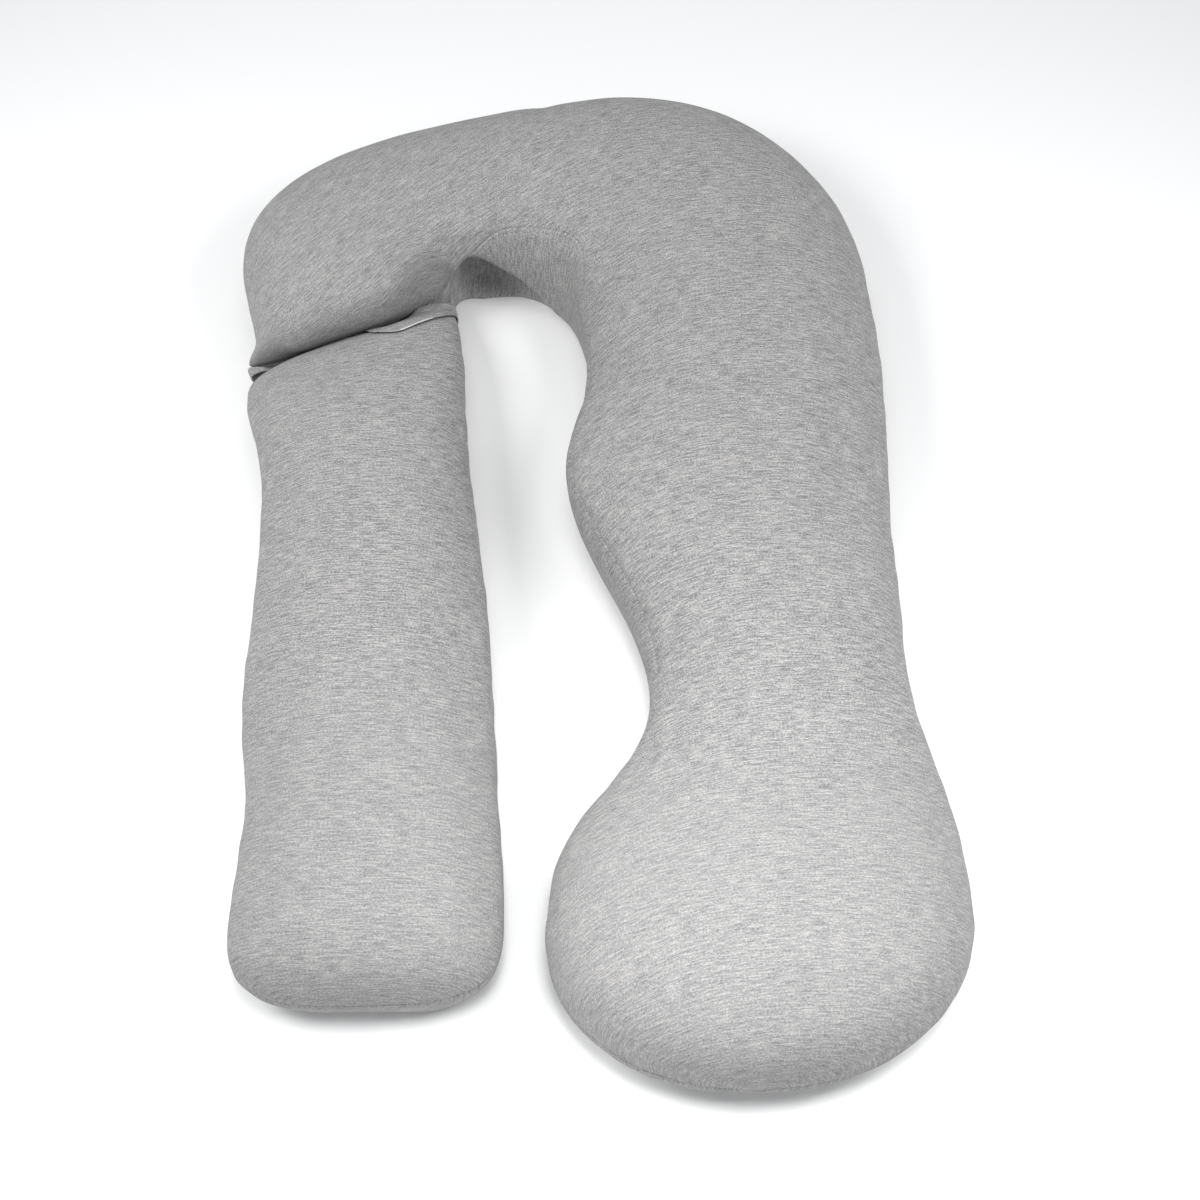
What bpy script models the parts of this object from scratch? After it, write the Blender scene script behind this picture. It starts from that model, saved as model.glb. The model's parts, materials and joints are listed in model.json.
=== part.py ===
"""A hooked body pillow: a bent main cushion, a straight arm that comes off, and the flap over the joint.

The pillow lies on its back on the floor, z = 0. The head end is at +Y, the arm is at -X and the long leg is at +X.
The origin is on the floor, under the middle of the whole pillow.
"""

import math
from typing import NamedTuple

import bmesh
import bpy
import numpy as np
from mathutils import Matrix

MM = 0.001  # the sizes below are in millimetres


class Section(NamedTuple):
    """One upright cut across a cushion, from its outer side to its inner side."""

    place: str
    outer_x: float
    outer_y: float
    inner_x: float
    inner_y: float
    crown: float  # height of the top
    outer_rim: float  # height at which the outer side is widest
    inner_rim: float  # height at which the inner side is widest
    outer_foot: float  # how far the outer side draws in from its rim to the floor
    inner_foot: float  # how far the inner side draws in from its rim to the floor
    inner_full: float  # 2 is a round inner shoulder, more is a squarer one
    inner_seam: float  # where the seam runs on the inner side, in degrees: 180 is the rim, less is above it


# The hooked cushion, from the joint, round the head end and down the long leg.
BODY_SECTIONS = (
    Section("joint face", -437, 240, -196, 343, 68, 42, 42, 26, 20, 2.4, 172),
    Section("joint lip", -443, 247, -195, 347, 116, 54, 54, 28, 20, 2.4, 170),
    Section("joint bulge", -450, 262, -194, 353, 145, 64, 64, 34, 20, 2.4, 168),
    Section("stub shoulder", -458, 293, -192, 360, 162, 72, 74, 40, 19, 2.5, 165),
    Section("stub", -469, 340, -189, 367, 169, 78, 81, 46, 18, 2.6, 162),
    Section("stub corner", -478, 402, -184, 374, 172, 80, 86, 46, 18, 2.8, 158),
    Section("outer corner", -452, 478, -174, 380, 172, 82, 90, 46, 18, 3.0, 155),
    Section("band start", -371, 549, -158, 382, 172, 84, 92, 46, 18, 3.2, 152),
    Section("band", -228, 614, -130, 382, 172, 84, 88, 46, 18, 3.2, 151),
    Section("band middle", -62, 657, -96, 376, 174, 84, 84, 46, 18, 3.2, 151),
    Section("band end", 60, 672, -66, 362, 176, 84, 82, 46, 18, 3.2, 154),
    Section("bend start", 192, 630, -42, 336, 178, 84, 80, 46, 18, 3.0, 158),
    Section("bend middle", 291, 540, -28, 300, 178, 82, 78, 46, 18, 2.8, 164),
    Section("bend end", 343, 420, -20, 256, 178, 80, 78, 46, 18, 2.6, 170),
    Section("leg start", 360, 290, -17, 212, 176, 80, 78, 46, 26, 2.5, 170),
    Section("upper leg", 362, 150, -24, 142, 174, 80, 80, 46, 32, 2.5, 164),
    Section("swell", 357, 42, -44, 52, 174, 80, 84, 46, 38, 2.6, 158),
    Section("below the swell", 354, -50, -18, -50, 172, 80, 84, 46, 38, 2.6, 153),
    Section("lower leg", 355, -150, 29, -150, 168, 78, 80, 46, 36, 2.5, 151),
    Section("waist", 358, -250, 56, -257, 165, 76, 76, 46, 38, 2.4, 157),
    Section("flare", 378, -350, 27, -348, 168, 76, 76, 46, 42, 2.4, 167),
    Section("bulb start", 395, -440, -38, -440, 172, 76, 76, 48, 48, 2.4, 175),
    Section("bulb middle", 399, -530, -58, -530, 174, 76, 76, 52, 52, 2.4, 178),
    Section("bulb end", 378, -704, -65, -704, 170, 76, 76, 52, 52, 2.4, 178),
)

# The straight arm, from the joint to its near end.
ARM_SECTIONS = (
    Section("joint face", -437, 236, -196, 339, 47, 34, 34, 22, 22, 2.4, 178),
    Section("joint lip", -448, 218, -193, 324, 68, 44, 44, 28, 28, 2.4, 178),
    Section("shoulder", -456, 180, -181, 268, 103, 58, 58, 38, 36, 2.4, 178),
    Section("neck", -443, 130, -174, 180, 134, 68, 68, 44, 42, 2.4, 178),
    Section("arm top", -421, 54, -164, 76, 150, 70, 70, 48, 46, 2.4, 178),
    Section("upper arm", -414, -50, -147, -44, 152, 70, 70, 48, 46, 2.4, 178),
    Section("arm middle", -413, -165, -132, -165, 152, 70, 70, 48, 46, 2.4, 178),
    Section("lower arm", -409, -285, -122, -285, 152, 70, 70, 48, 46, 2.4, 178),
    Section("wrist", -394, -395, -113, -395, 151, 70, 70, 48, 46, 2.4, 178),
    Section("hand", -398, -500, -103, -500, 150, 70, 70, 48, 46, 2.4, 178),
    Section("near end", -397, -616, -107, -616, 146, 70, 70, 48, 46, 2.4, 178),
)

OUTER_FULL = 2.4  # roundness of the outer shoulder
CROWN_FULL = 2.5  # roundness of the top


class NearEnd(NamedTuple):
    """How a cushion rounds off at its near end."""

    length: float
    full: float  # 2 is an oval end in plan, more is a squarer one
    rings: int


BODY_END = NearEnd(length=180, full=2.2, rings=9)
ARM_END = NearEnd(length=86, full=3.3, rings=7)

BODY_STEP = 24  # spacing of the cuts along the middle line
ARM_STEP = 26
JOINT_LENGTH = 64  # the stretch beside the joint, where the cuts are closer
JOINT_STEP = 8
TOP_STEPS = 14  # from the outer seam over the top to the inner seam
INNER_STEPS = 2  # from the inner seam down to the inner rim
FOOT_STEPS = 4  # from a rim to the floor
BASE_STEPS = 4  # along the floor
SEAM_DEPTH = 2.4  # how far the seam pulls the cloth in
SEAM_TURN = 4  # half the width of the seam's trough, in degrees round the cushion


class FlapCut(NamedTuple):
    """One cut across the flap, at a turn round the joint: 0 is the outer rim and 180 the inner rim."""

    place: str
    turn: float  # degrees
    stub_reach: float  # how far the flap reaches from the joint along the stub
    arm_reach: float  # how far it reaches from the joint along the arm
    lift: float  # how far its free edge stands off the arm
    bulge: float  # how far its middle stands out


FLAP_CUTS = (
    FlapCut("left end", -40, 5, 8, 0.6, 4),
    FlapCut("ear start", -22, 10, 14, 1.0, 9),
    FlapCut("ear", -6, 13, 17, 2.0, 14),
    FlapCut("ear end", 10, 6, 11, 1.0, 7),
    FlapCut("left shoulder", 30, 1, 6, 0.4, 1),
    FlapCut("middle", 78, 1, 6, 0.4, 1),
    FlapCut("first wave", 96, 1, 13, 0.6, 1),
    FlapCut("second wave", 108, 2, 27, 1.6, 2),
    FlapCut("dip", 120, 2, 27, 0.8, 2),
    FlapCut("third wave", 134, 3, 33, 1.8, 2),
    FlapCut("right shoulder", 152, 3, 30, 1.6, 2),
    FlapCut("right side", 174, 3, 26, 1.2, 3),
    FlapCut("right end", 198, 3, 16, 0.8, 2),
)
FLAP_THICK = 2.2  # two layers of jersey
FLAP_CLEAR = 0.8  # space between the flap and the cushions
FLAP_STEPS = 48
FLAP_STRIPS = 5


def natural_spline(knots, rows, places):
    """The rows of numbers at the knots, read at the places on a natural cubic spline."""
    count = len(knots)
    steps = np.diff(knots)
    slopes = np.diff(rows, axis=0) / steps[:, None]
    system = np.eye(count)
    target = np.zeros_like(rows)
    for i in range(1, count - 1):
        system[i, i - 1 : i + 2] = steps[i - 1], 2 * (steps[i - 1] + steps[i]), steps[i]
        target[i] = 6 * (slopes[i] - slopes[i - 1])
    bend = np.linalg.solve(system, target)
    index = np.clip(np.searchsorted(knots, places) - 1, 0, count - 2)
    step = steps[index][:, None]
    b = (places - knots[index])[:, None] / step
    a = 1 - b
    curve = (a**3 - a) * bend[index] + (b**3 - b) * bend[index + 1]
    return a * rows[index] + b * rows[index + 1] + curve * step**2 / 6


def read_cuts(sections, places):
    """The sections' sizes at distances along the cushion."""
    rows = np.array([section[1:] for section in sections], float)
    knots = distances(sections)
    return [Section("", *row) for row in natural_spline(knots, rows, np.array(places, float))]


def distances(sections):
    """How far each section is along the cushion, by its outer, middle and inner lines together."""
    rows = np.array([section[1:5] for section in sections], float)
    outer, inner = rows[:, 0:2], rows[:, 2:4]
    spans = [np.linalg.norm(np.diff(line, axis=0), axis=1) for line in (outer, (outer + inner) / 2, inner)]
    return np.concatenate([[0], np.cumsum(np.mean(spans, axis=0))])


def skin_point(cut, share, turn):
    """A point of one cut: turn 0 is the outer rim, 90 the top, 180 the inner rim, and past them are the feet."""
    half = math.hypot(cut.inner_x - cut.outer_x, cut.inner_y - cut.outer_y) / 2
    lean = math.cos(math.radians(turn))
    if 0 <= turn <= 180:
        full = OUTER_FULL if lean > 0 else cut.inner_full
        across = -math.copysign(abs(lean) ** (2 / full), lean)
        rise = max(0.0, math.sin(math.radians(turn))) ** (2 / CROWN_FULL)
        rim = cut.outer_rim + (cut.inner_rim - cut.outer_rim) * (1 + across) / 2
        return floor_plan(cut, share, across, rim + (cut.crown - rim) * rise * share)
    drop = abs(math.sin(math.radians(turn)))
    if turn > 180:
        across = 1 - cut.inner_foot / half * (1 + lean)
        return floor_plan(cut, share, across, cut.inner_rim * (1 - drop * share))
    across = cut.outer_foot / half * (1 - lean) - 1
    return floor_plan(cut, share, across, cut.outer_rim * (1 - drop * share))


def floor_plan(cut, share, across, height):
    """The place of a point of a cut, with -1 at the cut's outer side and 1 at its inner side."""
    x = (cut.outer_x + cut.inner_x + (cut.inner_x - cut.outer_x) * across * share) / 2
    y = (cut.outer_y + cut.inner_y + (cut.inner_y - cut.outer_y) * across * share) / 2
    return np.array((x, y, height))


def ring(cut, share):
    """The points round one cut: over the top, down the inner side, along the floor and up the outer side."""
    seam = cut.inner_seam
    rim = 180 - min(seam + SEAM_TURN, 179)
    top = [SEAM_TURN + (seam - 2 * SEAM_TURN) * i / TOP_STEPS for i in range(TOP_STEPS + 1)]
    side = [180 - rim * (1 - i / INNER_STEPS) for i in range(INNER_STEPS + 1)]
    foot = [90 * i / FOOT_STEPS for i in range(1, FOOT_STEPS + 1)]
    inner = [skin_point(cut, share, turn) for turn in side + [180 + turn for turn in foot]]
    outer = [skin_point(cut, share, -turn) for turn in foot[::-1] + [SEAM_TURN]]
    base = [inner[-1] + (outer[0] - inner[-1]) * i / BASE_STEPS for i in range(1, BASE_STEPS)]
    over = [skin_point(cut, share, turn) for turn in top]
    return [seam_point(cut, share, 0)] + over + [seam_point(cut, share, seam)] + inner + base + outer


def seam_point(cut, share, turn):
    """A point of the seam, drawn in from the skin towards the middle of the cut."""
    point = skin_point(cut, share, turn)
    middle = np.array(((cut.outer_x + cut.inner_x) / 2, (cut.outer_y + cut.inner_y) / 2, cut.crown / 2))
    inward = middle - point
    return point + inward / np.linalg.norm(inward) * SEAM_DEPTH * share


def cushion(name, sections, end, step, material):
    """One closed cushion through its sections, flat at the joint and round at its near end."""
    straight = distances(sections)[-1] - end.length
    count = round((straight - JOINT_LENGTH) / step)
    places = list(range(0, JOINT_LENGTH, JOINT_STEP))
    places += [JOINT_LENGTH + (straight - JOINT_LENGTH) * i / count for i in range(count + 1)]
    shares = [1.0] * len(places)
    for i in range(1, end.rings + 1):
        turn = math.pi / 2 * i / end.rings
        places.append(straight + end.length * math.sin(turn))
        shares.append(max(0.0, 1 - math.sin(turn) ** end.full) ** (1 / end.full))
    cuts = list(zip(read_cuts(sections, places), shares))
    mesh = bmesh.new()
    rings = [[mesh.verts.new(point * MM) for point in ring(*cut)] for cut in cuts[:-1]]
    tip = mesh.verts.new(skin_point(*cuts[-1], 0) * MM)
    mesh.faces.new(rings[0])
    for first, second in zip(rings, rings[1:]):
        join(mesh, first, second)
    for i, vertex in enumerate(rings[-1]):
        mesh.faces.new((vertex, rings[-1][i - 1], tip))
    return finished(name, mesh, material)


def join(mesh, first, second):
    """A band of faces between two closed loops of points."""
    for i in range(len(first)):
        mesh.faces.new((first[i - 1], first[i], second[i], second[i - 1]))


def joint_flap(name, material):
    """A folded strip from the stub over the joint to the arm, with a wavy free edge and a small ear at its left."""
    rows = np.array([cut[1:] for cut in FLAP_CUTS], float)
    turns = np.linspace(rows[0, 0], rows[-1, 0], FLAP_STEPS + 1)
    mesh = bmesh.new()
    loops = []
    for turn, stub_reach, arm_reach, lift, bulge in natural_spline(rows[:, 0], rows, turns):
        start, start_out = skin(BODY_SECTIONS, stub_reach, turn, -1)
        stop, stop_out = skin(ARM_SECTIONS, arm_reach, turn, 1)
        under = []
        over = []
        for i in range(FLAP_STRIPS + 1):
            share = i / FLAP_STRIPS
            outward = start_out + (stop_out - start_out) * share
            outward /= np.linalg.norm(outward)
            stand = FLAP_CLEAR + lift * share**2 + bulge * math.sin(math.pi * share)
            point = start + (stop - start) * share + outward * stand
            under.append(mesh.verts.new(point * MM))
            over.append(mesh.verts.new((point + outward * FLAP_THICK) * MM))
        loops.append(under + over[::-1])
    for first, second in zip(loops, loops[1:]):
        join(mesh, first, second)
    mesh.faces.new(loops[0])
    mesh.faces.new(loops[-1][::-1])
    return finished(name, mesh, material)


def skin(sections, place, turn, way):
    """A point of a cushion's skin, and the direction out of it. The way is 1 where the cushion runs to -Y."""
    here, along = read_cuts(sections, (place, place + 1))
    point = skin_point(here, 1, turn)
    forward = skin_point(along, 1, turn) - point
    across = skin_point(here, 1, turn + 1) - point
    outward = np.cross(forward, across) * way
    return point, outward / np.linalg.norm(outward)


def finished(name, mesh, material):
    """The object made from a closed mesh, shaded smooth, with its faces pointing out."""
    bmesh.ops.recalc_face_normals(mesh, faces=mesh.faces)
    data = bpy.data.meshes.new(name)
    mesh.to_mesh(data)
    mesh.free()
    data.shade_smooth()
    data.materials.append(material)
    piece = bpy.data.objects.new(name, data)
    bpy.context.scene.collection.objects.link(piece)
    return piece


def centre_on_floor(pieces):
    """Moves the meshes so that the middle of the whole pillow's outline is at the origin."""
    points = np.array([vertex.co for piece in pieces for vertex in piece.data.vertices])
    middle = (points.min(axis=0) + points.max(axis=0)) / 2
    for piece in pieces:
        piece.data.transform(Matrix.Translation((-middle[0], -middle[1], 0)))


def cloth(name, colour, roughness):
    """A plain matt cloth of one colour."""
    material = bpy.data.materials.new(name)
    material.use_nodes = True
    shader = material.node_tree.nodes["Principled BSDF"]
    shader.inputs["Base Color"].default_value = (*colour, 1.0)
    shader.inputs["Roughness"].default_value = roughness
    return material


def clear_scene():
    for thing in list(bpy.data.objects):
        bpy.data.objects.remove(thing)


def main():
    clear_scene()
    jersey = cloth("heather jersey", (0.40, 0.41, 0.41), 0.95)
    flap_jersey = cloth("flap jersey", (0.46, 0.47, 0.47), 0.95)
    pieces = (
        cushion("body_cushion", BODY_SECTIONS, BODY_END, BODY_STEP, jersey),
        cushion("arm_cushion", ARM_SECTIONS, ARM_END, ARM_STEP, jersey),
        joint_flap("joint_flap", flap_jersey),
    )
    centre_on_floor(pieces)


if __name__ == "__main__":
    main()
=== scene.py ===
"""A hooked full-body pillow on its back: two filled jersey cushions and the flap over their joint."""

import json
import math
from typing import NamedTuple

import bpy
import numpy as np
from bpy.props import FloatProperty, FloatVectorProperty, PointerProperty
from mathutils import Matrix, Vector, noise

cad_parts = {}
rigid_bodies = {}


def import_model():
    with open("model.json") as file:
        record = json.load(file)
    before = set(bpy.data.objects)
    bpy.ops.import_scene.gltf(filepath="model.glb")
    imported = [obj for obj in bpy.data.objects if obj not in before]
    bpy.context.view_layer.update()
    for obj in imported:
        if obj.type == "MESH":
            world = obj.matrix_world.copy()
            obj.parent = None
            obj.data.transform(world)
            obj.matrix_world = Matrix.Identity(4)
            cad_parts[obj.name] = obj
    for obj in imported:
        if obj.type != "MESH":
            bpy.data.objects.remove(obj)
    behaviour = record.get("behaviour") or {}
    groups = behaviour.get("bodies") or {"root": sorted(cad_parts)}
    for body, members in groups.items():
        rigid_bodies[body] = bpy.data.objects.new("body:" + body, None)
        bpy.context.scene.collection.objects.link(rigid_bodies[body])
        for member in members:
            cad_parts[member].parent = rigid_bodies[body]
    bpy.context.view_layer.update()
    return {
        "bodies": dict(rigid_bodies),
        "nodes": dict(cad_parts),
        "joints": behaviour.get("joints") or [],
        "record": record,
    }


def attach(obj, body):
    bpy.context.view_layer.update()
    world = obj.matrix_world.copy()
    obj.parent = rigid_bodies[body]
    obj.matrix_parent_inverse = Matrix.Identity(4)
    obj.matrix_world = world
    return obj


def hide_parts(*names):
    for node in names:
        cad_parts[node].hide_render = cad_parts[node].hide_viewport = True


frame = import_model()

bl_info = {
    "name": "Hooked body pillow",
    "version": (1, 0, 0),
    "blender": (4, 5, 0),
    "location": "3D View > Sidebar > Pillow",
    "description": "Builds the pillow's two cushions, the flap over their joint, and the stage",
    "category": "Add Mesh",
}

MM = 0.001  # the tables below are in millimetres


def linear(code):
    """An sRGB hex colour as linear red, green and blue."""
    parts = [int(code[i : i + 2], 16) / 255 for i in (1, 3, 5)]
    return tuple(p / 12.92 if p <= 0.04045 else ((p + 0.055) / 1.055) ** 2.4 for p in parts)


# ---------------------------------------------------------------- sizes and colours that a user may change


class PillowShape(bpy.types.PropertyGroup):
    spacing: FloatProperty(
        name="Mesh spacing",
        description="Distance between the loops of a cushion before its subdivision",
        default=0.011,
        min=0.006,
        max=0.03,
        unit="LENGTH",
    )
    seam_depth: FloatProperty(
        name="Seam depth",
        description="How far the stitching draws the perimeter seam into the filling",
        default=0.0012,
        min=0.0,
        max=0.006,
        unit="LENGTH",
    )
    swell: FloatProperty(
        name="Fibre lumps",
        description="Height of the soft unevenness that the fibre filling leaves under the cover",
        default=0.0022,
        min=0.0,
        max=0.006,
        unit="LENGTH",
    )


class PillowCloth(bpy.types.PropertyGroup):
    light: FloatVectorProperty(
        name="Light fibres",
        description="Colour of the undyed fibres in the heather yarn",
        subtype="COLOR",
        default=linear("#b9b5b4"),
        min=0.0,
        max=1.0,
    )
    ground: FloatVectorProperty(
        name="Ground",
        description="Colour of the yarn where its fibres are evenly mixed",
        subtype="COLOR",
        default=linear("#969695"),
        min=0.0,
        max=1.0,
    )
    dark: FloatVectorProperty(
        name="Dark fibres",
        description="Colour of the dyed fibres in the heather yarn",
        subtype="COLOR",
        default=linear("#737475"),
        min=0.0,
        max=1.0,
    )
    streak_length: FloatProperty(
        name="Streak length",
        description="How far one dark or light streak runs along the courses of the knit",
        default=0.017,
        min=0.002,
        max=0.1,
        unit="LENGTH",
    )
    streak_width: FloatProperty(
        name="Streak width",
        description="Width of one streak across the courses",
        default=0.0017,
        min=0.0005,
        max=0.01,
        unit="LENGTH",
    )
    # Painted washout: how far the streaks fade towards the ground colour over the near ends, where the near
    # light is brightest.
    fade: FloatProperty(
        name="Fade",
        description="How much paler the streaks are where the cloth is pulled tight",
        default=0.3,
        min=0.0,
        max=1.0,
    )


class PillowStage(bpy.types.PropertyGroup):
    floor: FloatVectorProperty(
        name="Floor",
        description="Colour of the plain pale floor",
        subtype="COLOR",
        default=linear("#fcfcfc"),
        min=0.0,
        max=1.0,
    )
    key: FloatProperty(
        name="Near light",
        description="Power of the narrow soft light over the near end, in watts",
        default=2.1,
        min=0.0,
    )
    high: FloatProperty(
        name="High light",
        description="Power of the larger soft light high over the whole pillow, in watts",
        default=9.0,
        min=0.0,
    )
    left: FloatProperty(
        name="Left light",
        description="Power of the soft light beside the arm, in watts",
        default=14.5,
        min=0.0,
    )
    right: FloatProperty(
        name="Right light",
        description="Power of the soft light beside the long leg, in watts",
        default=11.5,
        min=0.0,
    )


class PillowSettings(bpy.types.PropertyGroup):
    shape: PointerProperty(type=PillowShape)
    cloth: PointerProperty(type=PillowCloth)
    stage: PointerProperty(type=PillowStage)


# ---------------------------------------------------------------- the cushions' cuts


class Section(NamedTuple):
    """One upright cut across a cushion, from its outer side to its inner side."""

    place: str
    outer_x: float
    outer_y: float
    inner_x: float
    inner_y: float
    crown: float  # height of the top
    outer_rim: float  # height at which the outer side is widest
    inner_rim: float  # height at which the inner side is widest
    outer_foot: float  # how far the outer side draws in from its rim to the floor
    inner_foot: float  # how far the inner side draws in from its rim to the floor
    inner_full: float  # 2 is a round inner shoulder, more is a squarer one
    inner_seam: float  # where the seam runs on the inner side, in degrees: 180 is the rim, less is above it


# The hooked cushion, from the joint, round the head end and down the long leg.
BODY_SECTIONS = (
    Section("joint face", -437, 240, -196, 343, 62, 42, 42, 26, 20, 2.4, 176),
    Section("joint lip", -443, 247, -195, 347, 118, 54, 54, 28, 20, 2.4, 176),
    Section("joint bulge", -450, 262, -194, 353, 148, 64, 64, 34, 20, 2.4, 176),
    Section("stub shoulder", -458, 293, -192, 360, 164, 72, 74, 40, 19, 2.5, 176),
    Section("stub", -469, 340, -189, 367, 169, 78, 81, 46, 18, 2.6, 176),
    Section("stub corner", -478, 402, -184, 374, 172, 80, 86, 46, 18, 2.8, 175),
    Section("outer corner", -452, 478, -174, 380, 172, 82, 90, 46, 18, 3.0, 172),
    Section("band start", -371, 549, -158, 382, 172, 84, 84, 46, 18, 3.2, 161),
    Section("band", -228, 614, -130, 382, 172, 84, 66, 46, 18, 3.2, 143),
    Section("band middle", -62, 657, -96, 376, 174, 84, 48, 46, 18, 3.2, 137),
    Section("band end", 60, 672, -66, 362, 176, 84, 42, 46, 14, 3.2, 135),
    Section("bend start", 192, 630, -42, 336, 178, 84, 50, 46, 10, 3.0, 140),
    Section("bend middle", 291, 540, -28, 300, 178, 82, 66, 46, 9, 2.8, 163),
    Section("bend end", 343, 420, -20, 256, 176, 80, 76, 46, 14, 2.6, 168),
    Section("leg start", 360, 290, -17, 212, 172, 80, 78, 46, 26, 2.5, 169),
    Section("upper leg", 362, 150, -24, 142, 169, 80, 80, 46, 32, 2.5, 167),
    Section("swell", 357, 42, -44, 52, 171, 80, 84, 46, 38, 2.6, 163),
    Section("below the swell", 354, -50, -18, -50, 173, 80, 84, 46, 38, 2.6, 159),
    Section("lower leg", 355, -150, 29, -150, 170, 78, 80, 46, 36, 2.5, 156),
    Section("waist", 358, -250, 56, -257, 153, 76, 76, 46, 38, 2.4, 159),
    Section("flare", 378, -350, 27, -348, 148, 76, 76, 46, 42, 2.4, 167),
    Section("bulb start", 395, -440, -38, -440, 166, 76, 76, 48, 48, 2.4, 175),
    Section("bulb middle", 399, -530, -58, -530, 182, 76, 76, 52, 52, 2.4, 178),
    Section("bulb end", 378, -704, -65, -704, 180, 76, 76, 52, 52, 2.4, 178),
)

# The straight arm, from the joint to its near end.
ARM_SECTIONS = (
    Section("joint face", -437, 236, -196, 339, 57, 36, 36, 22, 22, 2.4, 178),
    Section("joint lip", -448, 218, -193, 324, 77, 45, 45, 28, 28, 2.4, 178),
    Section("shoulder", -456, 180, -181, 268, 107, 58, 58, 38, 36, 2.4, 178),
    Section("neck", -443, 130, -174, 180, 134, 68, 68, 44, 42, 2.4, 178),
    Section("arm top", -421, 54, -164, 76, 150, 70, 70, 48, 46, 2.4, 178),
    Section("upper arm", -414, -50, -147, -44, 152, 70, 70, 48, 46, 2.4, 178),
    Section("arm middle", -413, -165, -132, -165, 152, 70, 70, 48, 46, 2.4, 178),
    Section("lower arm", -409, -285, -122, -285, 152, 70, 70, 48, 46, 2.4, 178),
    Section("wrist", -394, -395, -113, -395, 151, 70, 70, 48, 46, 2.4, 178),
    Section("hand", -398, -500, -103, -500, 150, 70, 70, 48, 46, 2.4, 178),
    Section("near end", -397, -616, -107, -616, 146, 70, 70, 48, 46, 2.4, 178),
)
OUTER_FULL = 2.2  # fullness of every outer shoulder, and of the top below
CROWN_FULL = 2.35
LOWER_PANEL_STARTS = (5, 9)  # metres along the cloth to where the outer and the inner lower panel start
CENTRE = np.array((38.8, 15.9, 0.0))  # from the middle of the tables to the middle of the whole pillow


class NearEnd(NamedTuple):
    """How a cushion closes at its near end."""

    length: float
    full: float  # 2 is a round end in plan, more is a squarer one
    top_full: float  # the same for its top, seen from the side


BODY_END = NearEnd(length=180, full=2.2, top_full=3.2)
ARM_END = NearEnd(length=86, full=3.3, top_full=2.6)


class Grain(NamedTuple):
    """Which way the courses of the knit run at one place across the cushion."""

    x: float
    rise: float  # slope of the courses, as a rise towards +Y for each step towards +X


# The cover is cut from one length of jersey, and its courses climb towards the corner of the head end.
BODY_GRAIN = (
    Grain(-520, 1.0),
    Grain(-300, 0.95),
    Grain(-130, 0.7),
    Grain(20, 0.36),
    Grain(160, 0.1),
    Grain(260, 0.0),
    Grain(420, -0.04),
)


class Tuck(NamedTuple):
    """How the cloth folds in under the head end, at one place along its inner wall."""

    x: float
    lip: float  # height of the fold's lip
    depth: float  # how far the cloth is drawn in under the lip
    foot: float  # how far it is still drawn in where it meets the floor


HEAD_TUCK = (
    Tuck(-240, 60, 0, 0),
    Tuck(-212, 80, 12, 4),
    Tuck(-194, 92, 38, 8),
    Tuck(-177, 97, 48, 6),
    Tuck(-160, 92, 52, 1),
    Tuck(-135, 72, 48, 1),
    Tuck(-108, 54, 38, 1),
    Tuck(-82, 32, 20, 0),
    Tuck(-60, 8, 0, 0),
)
TUCK_FOOT_SHARE = 0.4  # the foot's own depth fades out up to this share of the lip's height
TUCK_FROM_TURN = 150  # only the inner wall is drawn in
TUCK_FROM_Y = 300  # and only at the head end
TUCK_PROFILE = ((0.0, 0.0), (0.22, 0.72), (0.48, 1.0), (0.74, 0.9), (0.9, 0.5), (1.0, 0.14), (1.12, 0.0))


class EndLean(NamedTuple):
    """How far the stub's round end leans over the joint, at one place across it. Below 0 it stands back."""

    x: float
    lean: float


END_LEAN = (
    EndLean(-428, 10),
    EndLean(-404, 30),
    EndLean(-300, 33),
    EndLean(-276, 26),
    EndLean(-257, 14),
    EndLean(-238, 0),
    EndLean(-218, -10),
    EndLean(-196, -12),
)
END_LEAN_LENGTH = 30
LEAN_HEIGHTS = (56, 96)  # the end leans forward more and more between these heights
STAND_BACK_HEIGHTS = (4, 40)


class ArmRise(NamedTuple):
    """How far the arm's cloth is pushed up against the stub, at one place across the joint."""

    x: float
    rise: float


ARM_RISE = (
    ArmRise(-432, 0),
    ArmRise(-408, 4),
    ArmRise(-325, 4),
    ArmRise(-300, 0),
    ArmRise(-278, -12),
    ArmRise(-258, -8),
    ArmRise(-236, 0),
)
ARM_RISE_LENGTH = 22
RISE_HEIGHTS = (36, 70)  # the arm's cloth moves more and more between these heights
EAR = 25  # how far the cloth stands out at the outer end of the joint
EAR_LENGTH = 11
EAR_TURN = 4  # where its middle is, in degrees round the joint
EAR_SPREAD = 15
STUB_EAR_WAY = np.array((-0.97, -0.15, 0.05))
FLAP_EAR_WAY = np.array((-0.66, 0.34, 0.25))
JOINT_WAY = np.array((0.393, -0.92, 0.0))  # from the stub to the arm


class FlapCut(NamedTuple):
    """One cut across the flap, at one turn round the joint: 0 is its outer side, 90 on top, 180 inner."""

    turn: float
    on_stub: float  # 1 where the flap leans back to the stub, 0 where it starts deep in the joint
    on_arm: float  # 1 where it comes out over the arm, 0 where all of it stays down in the joint
    reach: float  # how far it lies over the arm
    lift: float  # how far its free edge stands off the arm
    roll: float  # how far it stands out over the joint


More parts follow.
